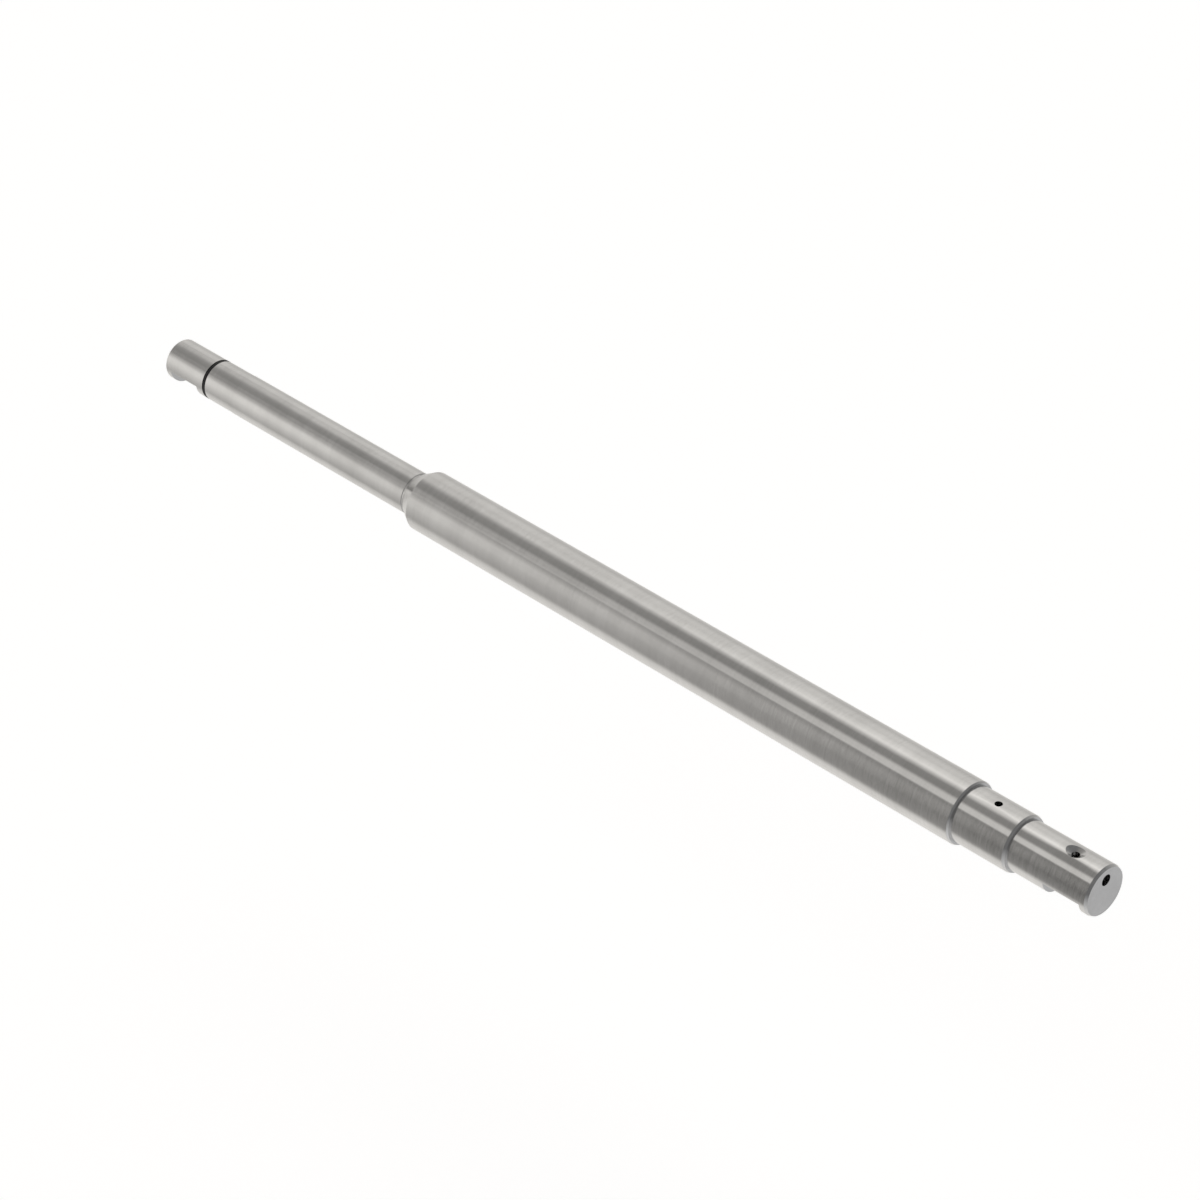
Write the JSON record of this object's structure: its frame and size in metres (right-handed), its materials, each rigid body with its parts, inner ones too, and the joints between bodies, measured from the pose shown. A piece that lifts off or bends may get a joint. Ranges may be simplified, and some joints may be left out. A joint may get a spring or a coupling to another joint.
{
  "type": "stepped shaft",
  "caption": "Long stepped steel shaft with ground seats, a tapered shoulder, flats at its ends, a rubber seal ring and an oil gallery that feeds radial holes.",
  "frame": {"origin": "the point of the shaft's axis half way between the two end faces", "axes": "+X along the shaft's axis towards the end with the oil gallery, +Z the way the radial oil holes open, +Y completes a right-handed frame"},
  "size_m": [0.977, 0.0498, 0.05],
  "materials": {
    "ground_steel": "ground",
    "black_rubber": "matt"
  },
  "bodies": {
    "root": {"shaft": "ground_steel", "o_ring": "black_rubber"}
  },
  "joints": []
}
